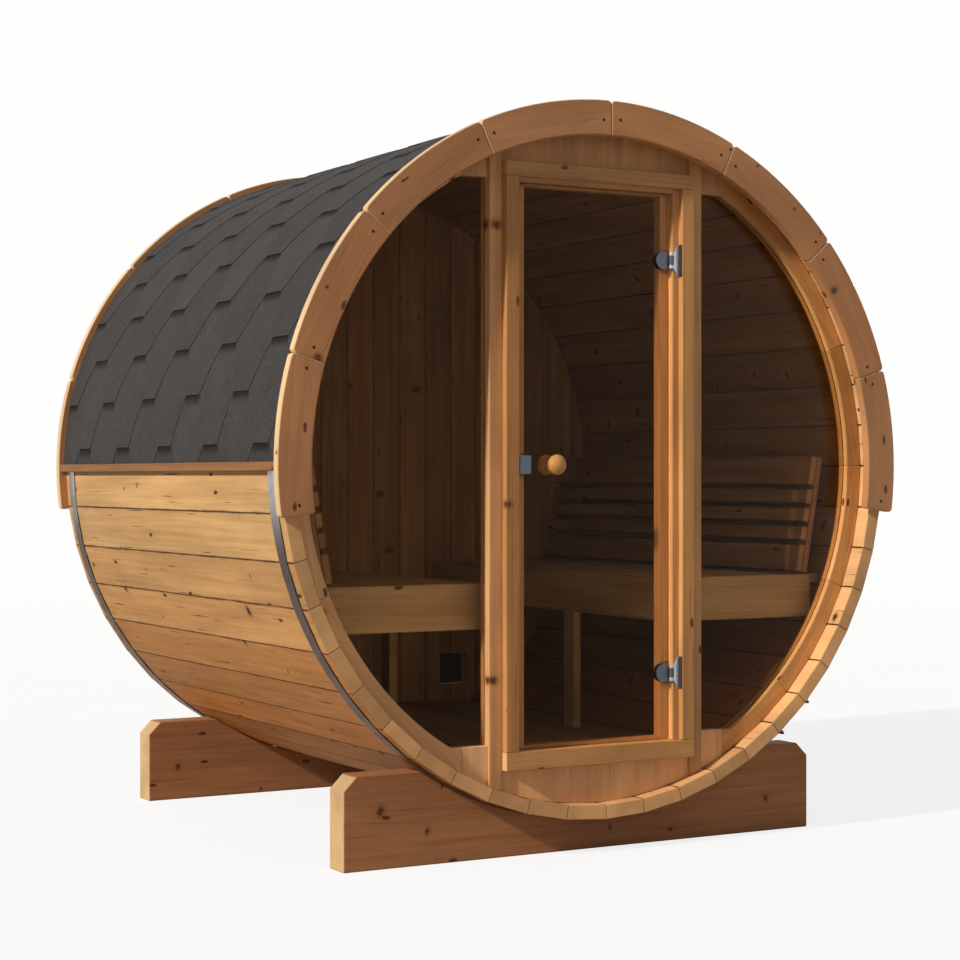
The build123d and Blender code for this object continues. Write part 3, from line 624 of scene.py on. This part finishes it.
def dress(name, lie="free", bevel=0.0015, material=None, segments=2, sawn_rim=False, inside=None):
    """Replaces a CAD node with the same boards with eased arrises and grain of their own.

    lie is 'stave', 'ring', 'upright' or 'free'. inside is 'axis' or 'front', the way in which
    the faces inside look; those faces take painted shade between the end walls.
    """
    bm, eased = eased_boards(name, bevel, segments)
    grain = [0.0] * (3 * len(bm.verts))
    tint = [0.0] * len(bm.verts)
    warmth_and_low_shade = [0.0] * len(bm.verts)
    half = [1.0] * len(bm.verts)
    end = [0.0] * len(bm.faces)
    indoor_shade = [0.0] * len(bm.faces)
    arris = [float(face in eased) for face in bm.faces]
    boards = sorted(islands(bm), key=lambda group: tuple(round(part, 3) for part in group[0].co))
    for group in boards:
        centre = middle_of(group)
        outward = outward_at(centre)
        along, across, through = board_axes(lie, outward, group)
        start = RNG.uniform(0, GRAIN_REACH) + 3.0 * RNG.randrange(1, 30)
        shade = RNG.random()
        warm_and_low_shade = RNG.uniform(0.0, 0.5)
        # The lower staves face the ground: their redder tone also darkens them, as painted shade.
        if lie == "stave":
            drop = (AXIS_HEIGHT - WARM_SHADE_DROP - centre.z) / WARM_SHADE_FADE
            warm_and_low_shade = 0.25 * warm_and_low_shade + 0.85 * max(0.0, min(1.0, drop))
        width = max(abs((vert.co - centre).dot(across)) for vert in group)
        for vert in group:
            place = vert.co - centre
            at = 3 * vert.index
            grain[at:at + 3] = place.dot(along) + start, place.dot(across), place.dot(through)
            tint[vert.index] = shade
            warmth_and_low_shade[vert.index] = warm_and_low_shade
            half[vert.index] = width
        indoor_way = {"axis": -outward, "front": -ALONG_Y, None: Vector()}[inside]
        for face in {face for vert in group for face in vert.link_faces}:
            lean = abs(face.normal.dot(along))
            on_rim = sawn_rim and face.normal.dot(outward) > FACING
            end[face.index] = float(lean > END_LEAN or on_rim)
            indoor_shade[face.index] = float(face.normal.dot(indoor_way) > FACING)
            if lean > END_ARRIS_LEAN:
                arris[face.index] *= END_ARRIS_DARKENING
    mesh = bpy.data.meshes.new("look_" + name)
    bm.to_mesh(mesh)
    bm.free()
    mesh.shade_smooth()
    write_vectors(mesh, "grain", grain)
    write(mesh, "board", tint)
    write(mesh, "warm_and_low_shade", warmth_and_low_shade)
    write(mesh, "half", half)
    write(mesh, "end", end, "FACE")
    write(mesh, "arris", arris, "FACE")
    write(mesh, "inside", indoor_shade, "FACE")
    thing = place_mesh(mesh, name, material)
    thing.modifiers.new("normals", "WEIGHTED_NORMAL").keep_sharp = True
    return thing


# ---------------------------------------------------------------- screws, and the vent's screen of painted shade
SCREEN_CLEAR = 0.016  # the vent's frame and a millimetre of play
SCREEN_GAP = 0.004  # from the vent's inner face to the screen's middle
SCREEN_THICK = 0.0016
SCREW_RADIUS = 0.0045
SCREW_HEIGHT = 0.0012
SCREW_RECESS = 0.0003
SCREW_FROM_END = 0.026


def build_vent_shade_screen():
    """A near-black sheet behind the louvres of the vent, drawn as an insect screen: painted shade.
    """
    low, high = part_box("back_vent")
    centre = (low + high) / 2
    width = high.x - low.x - 2 * SCREEN_CLEAR
    bm = bmesh.new()
    bmesh.ops.create_cube(bm, size=1.0)
    for vert in bm.verts:
        vert.co = Vector((
            centre.x + width * vert.co.x,
            low.y - SCREEN_GAP + SCREEN_THICK * vert.co.y,
            centre.z + width * vert.co.z,
        ))
    bmesh.ops.bevel(bm, geom=list(bm.edges), offset=SCREEN_THICK / 4, segments=2, affect="EDGES")
    add_small_part(bm, "vent_shade_screen", SHADE_SCREEN)


def add_screw(bm, spot, facing):
    """A head that stands a little proud, with a shallow recess in it."""
    upright = Matrix.Rotation(math.radians(-90 * facing), 4, "X")
    head = bmesh.ops.create_cone(
        bm, cap_ends=True, segments=16, radius1=SCREW_RADIUS, radius2=0.8 * SCREW_RADIUS,
        depth=SCREW_HEIGHT, matrix=Matrix.Translation(spot) @ upright,
    )
    faces = {face for vert in head["verts"] for face in vert.link_faces}
    cap = max(faces, key=lambda face: facing * face.calc_center_median().y)
    bmesh.ops.inset_region(bm, faces=[cap], thickness=0.4 * SCREW_RADIUS, depth=-SCREW_RECESS)


def build_screws(node, name, facing):
    """Screws near both ends of every arch board, each a little off its place."""
    source = joined_copy(node)
    bm = bmesh.new()
    for group in islands(source):
        centre = middle_of(group)
        middle = math.atan2(centre.z - AXIS_HEIGHT, centre.x)
        turns, radii = [], []
        for vert in group:
            turn = math.atan2(vert.co.z - AXIS_HEIGHT, vert.co.x) - middle
            turns.append((turn + math.pi) % (2 * math.pi) - math.pi)
            radii.append(math.hypot(vert.co.x, vert.co.z - AXIS_HEIGHT))
        radius = (min(radii) + max(radii)) / 2
        margin = SCREW_FROM_END / radius
        surface = (min if facing < 0 else max)(vert.co.y for vert in group)
        for turn in (min(turns) + margin, max(turns) - margin):
            turn += middle + RNG.uniform(-0.4, 0.4) * SCREW_RADIUS / radius
            reach = radius + RNG.uniform(-2.0, 2.0) * SCREW_RADIUS
            spot = (reach * math.cos(turn), surface, AXIS_HEIGHT + reach * math.sin(turn))
            add_screw(bm, Vector(spot), facing)
    source.free()
    add_small_part(bm, name, SCREW)


# ---------------------------------------------------------------- every piece but the roof
for number in range(1, 9):
    dress(f"staves_{number}", "stave", 0.0022, inside="axis")
for name in ("fascia_front", "fascia_back"):
    dress(name, "ring", 0.004, segments=3, sawn_rim=True)
dress("front_ring_right", "ring", 0.0025, material=RING)
dress("front_ring_left", "ring", 0.002, material=RING_PAINTED_LIGHT)
dress("front_infill_top", "upright", 0.001, material=MULLION)
dress("front_infill_bottom", "upright", 0.001, material=INFILL_PAINTED_LIGHT)
for name in ("mullion_right", "mullion_left"):
    dress(name, bevel=0.002, material=MULLION)
for name in ("door_jamb_right", "door_jamb_left", "door_head", "door_sill", "door_stops"):
    dress(name, bevel=0.002)
for name in ("cradle_front", "cradle_back"):
    dress(name, bevel=0.004)
dress("back_wall_boards", material=WALL, inside="front")
dress("floor_boards", material=FLOORING)
for name in (
    "floor_bearers", "bench_seat_right", "bench_seat_left", "bench_frame_right", "bench_frame_left",
):
    dress(name)
for name in ("backrest_right", "backrest_left"):
    dress(name, material=BACKREST_SHADED)
dress("eave_battens", bevel=0.002, material=BATTEN)
for name in ("band_front", "band_back"):
    dress(name, bevel=0.0006)
for name in ("door_hinge_upper", "door_hinge_lower"):
    dress(name, bevel=0.0006, material=CLAMP_SHADED)
plates = dress("hinge_wall_plates", bevel=0.0006).data
# Near black right of the line: the rubber pad, with painted shadow of the hinge.
plates.materials.append(PAD_AND_SHADOW)
for face in plates.polygons:
    face.material_index = int(face.center.x > PAD_AND_SHADOW_X)
dress("door_latch_plate", bevel=0.0008, material=LATCH)
dress("door_knob", bevel=0.0)
dress("back_vent", bevel=0.0006)
build_vent_shade_screen()
build_screws("fascia_front", "fascia_screws_front", -1)
build_screws("fascia_back", "fascia_screws_back", 1)
for name in ("side_glass", "door_glass"):
    dress(name, bevel=0.0008)


# ---------------------------------------------------------------- roof shingles
FELT_BASE = 0.9529  # radius, on the staves
FELT_THICK = 0.0015
EAVE_ANGLE = 0.4  # degrees above the axis
FIRST_COURSE = 3.2
COURSE_STEP = 8.25
COURSES = 10
UNDERLAYS = 2  # courses under the first, cut off at the eave
LAP = 2.2  # a course's height, in steps, with what the next ones cover
LEAST_HEIGHT = 0.02
BUTT_LAYERS = 3.0  # of felt under a course's butts, and one less for each step up
ROWS = 6  # faces up a course
EDGE_STEP = 0.03
TABS = 8  # more than the roof's length takes
TAB_PITCH = 0.333
TAB_FLAT = 0.097
TAB_SLANT = 0.0695
FIRST_TAB = 0.117  # its middle, from the front
CREASE_ANGLE = math.radians(35)

CAP_STEP = 0.145
CAP_LENGTH = 0.30
CAP_LIFTS = (0.0070, 0.0115, 0.0100, 0.0085)  # under and over its near edge, middle, far edge
CAP_HALF_ANGLE = 9.0  # degrees down each side of the ridge
CAP_COLUMNS = 12


def course_edge(offset):
    """Places along a course and how far its lower edge is up, 0 at a butt and 1 at a cut-out."""
    points = []
    start = FRONT_Y + FIRST_TAB + offset - 2 * TAB_PITCH
    for number in range(TABS):
        left = start + number * TAB_PITCH - TAB_FLAT / 2
        right = left + TAB_FLAT
        points += [(left, 0.0), (right, 0.0)]
        points += [(right + TAB_SLANT, 1.0), (right + TAB_SLANT + TAB_FLAT, 1.0)]

    def at(place):
        for (a, up_a), (b, up_b) in zip(points, points[1:]):
            if a <= place <= b:
                return (place, up_a + (up_b - up_a) * (place - a) / (b - a))

    return [at(FRONT_Y), *(p for p in points if FRONT_Y < p[0] < BACK_Y), at(BACK_Y)]


def subdivided(edge):
    """The same edge with points close enough to bend."""
    points = []
    for (a, up_a), (b, up_b) in zip(edge, edge[1:]):
        pieces = max(1, round((b - a) / EDGE_STEP))
        points += [
            (a + (b - a) * i / pieces, up_a + (up_b - up_a) * i / pieces) for i in range(pieces)
        ]
    return [*points, edge[-1]]


def felt_point(y, degrees, lift, side):
    """A place on the roof, so many degrees above the axis on one side."""
    radius = FELT_BASE + lift
    angle = math.radians(degrees)
    return (side * radius * math.cos(angle), y, AXIS_HEIGHT + radius * math.sin(angle))


def place_felt(name, verts, faces, tabs, shades):
    mesh = bpy.data.meshes.new("look_" + name)
    mesh.from_pydata(verts, [], faces)
    write_vectors(mesh, "tab", tabs)
    write(mesh, "board", shades)
    mesh.shade_smooth()
    mesh.set_sharp_from_angle(angle=CREASE_ANGLE)
    place_mesh(mesh, name)


def build_roof(name, side):
    """The courses of hexagonal tabs on one side of the roof."""
    verts, faces, tabs, shades = [], [], [], []
    rows = ROWS + 2
    for course in range(-UNDERLAYS, COURSES):
        offset = 0.0 if course % 2 == 0 else TAB_PITCH / 2
        low_angle = FIRST_COURSE + course * COURSE_STEP
        top = LAP if course < COURSES - 1 else 1.0
        edge = subdivided(course_edge(offset))
        shade = RNG.random()
        base = len(verts)
        for y, up in edge:
            bottom = max(up, (EAVE_ANGLE - low_angle) / COURSE_STEP)
            bottom = min(bottom, top - LEAST_HEIGHT)
            phase = ((y - FRONT_Y - FIRST_TAB - offset) / TAB_PITCH + 0.5) % 1.0 - 0.5
            for step in range(-1, ROWS + 1):
                height = bottom + (top - bottom) * max(step, 0) / ROWS
                lift = FELT_THICK * (BUTT_LAYERS - height)
                if step < 0:
                    lift -= 1.1 * FELT_THICK
                verts.append(felt_point(y, low_angle + height * COURSE_STEP, lift, side))
                tabs += [phase, height, float(course)]
                shades.append(shade)
        for column in range(len(edge) - 1):
            for row in range(rows - 1):
                a = base + column * rows + row
                quad = (a, a + rows, a + rows + 1, a + 1)
                faces.append(quad if side < 0 else quad[::-1])
    place_felt(name, verts, faces, tabs, shades)


def build_ridge(name):
    """Caps bent over the ridge, each lapping the one in front of it."""
    verts, faces, tabs, shades = [], [], [], []
    for number in range(math.ceil((BACK_Y - FRONT_Y) / CAP_STEP)):
        near = FRONT_Y + number * CAP_STEP
        far = min(near + CAP_LENGTH, BACK_Y)
        rows = list(zip((near, near, (near + far) / 2, far), CAP_LIFTS))
        shade = RNG.random()
        base = len(verts)
        for column in range(CAP_COLUMNS + 1):
            degrees = 90 - CAP_HALF_ANGLE + 2 * CAP_HALF_ANGLE * column / CAP_COLUMNS
            for y, lift in rows:
                verts.append(felt_point(y, degrees, lift, 1))
                tabs += [0.5, 0.0, 0.0]
                shades.append(shade)
        for column in range(CAP_COLUMNS):
            for row in range(len(rows) - 1):
                a = base + column * len(rows) + row
                faces.append((a, a + 1, a + 1 + len(rows), a + len(rows)))
    place_felt(name, verts, faces, tabs, shades)


build_roof("roof_shingles_left", -1)
build_roof("roof_shingles_right", 1)
build_ridge("roof_ridge")


# ---------------------------------------------------------------- studio
FLOOR_HALF = 30.0
FADE_FROM = 4.0  # the floor fades out between these distances
FADE_TO = 16.0
VEIL = 0.82  # how far plain white covers the floor to the camera, with the shadow under it
WHITE = (1.0, 1.0, 1.0, 1.0)


def build_floor():
    """A floor that keeps the object's shadow and is close to white to the camera."""
    mesh = bpy.data.meshes.new("studio_floor")
    corners = [(-1, -1), (1, -1), (1, 1), (-1, 1)]
    mesh.from_pydata([(FLOOR_HALF * x, FLOOR_HALF * y, 0) for x, y in corners], [], [(0, 1, 2, 3)])
    net = Net(bpy.data.materials.new("studio_floor"))
    place = net.place()
    path = net.add("LightPath").outputs
    seen = net.larger(path["Is Camera Ray"], path["Is Glossy Ray"])
    colour = net.mix(seen, (0.32, 0.27, 0.21, 1.0), (0.93, 0.955, 1.0, 1.0))
    colour = net.shaded(colour, net.band(net.noise(place, 1.2), 0.3, 0.7, 0.97, 1.0))
    shader = net.principled({"Base Color": colour, "Roughness": 0.8})
    white = net.add("Emission", {"Color": WHITE, "Strength": 1.0}).outputs[0]
    shader = net.blend(net.times(path["Is Camera Ray"], VEIL), shader, white)
    away = net.add("VectorMath", {0: place}, operation="LENGTH").outputs["Value"]
    gone = net.add("BsdfTransparent", {"Color": WHITE}).outputs[0]
    mesh.materials.append(net.finish(net.blend(net.band(away, FADE_FROM, FADE_TO), shader, gone)))
    add_object("studio_floor", mesh)


def build_world():
    """A pale backdrop to the camera, in reflections and through glass, and dim warm light."""
    net = Net(bpy.data.worlds.new("studio"), "OutputWorld")
    path = net.add("LightPath").outputs
    straight = net.math("LESS_THAN", path["Diffuse Depth"], 0.5)
    through = net.times(path["Is Transmission Ray"], straight)
    seen = net.larger(net.larger(path["Is Camera Ray"], through), path["Is Glossy Ray"])
    light = net.add("Background", {"Color": (1.0, 0.97, 0.94, 1.0), "Strength": 0.28}).outputs[0]
    pale = net.add("Background", {"Color": (0.99, 0.99, 0.985, 1.0), "Strength": 1.0}).outputs[0]
    bpy.context.scene.world = net.finish(net.blend(seen, light, pale))


def build_sun():
    light = bpy.data.lights.new("sun", "SUN")
    light.energy = 3.45
    light.angle = math.radians(2.0)
    light.color = (1.0, 0.92, 0.78)
    sun = add_object("sun", light)
    sun.rotation_mode = "QUATERNION"
    sun.rotation_quaternion = Vector((-1.0, -0.17, 0.58)).to_track_quat("Z", "Y")


def build_camera():
    """The camera, fitted to the photograph's perspective."""
    data = bpy.data.cameras.new("camera")
    data.sensor_width = 36.0
    data.lens = 79.69
    data.shift_y = -0.0056
    camera = add_object("camera", data)
    camera.location = (-3.100, -5.612, 1.010)
    camera.rotation_euler = (math.radians(90.05), 0.0, math.radians(-29.504))
    bpy.context.scene.camera = camera


build_floor()
build_world()
build_sun()
build_camera()
bpy.context.scene.view_settings.view_transform = "Standard"
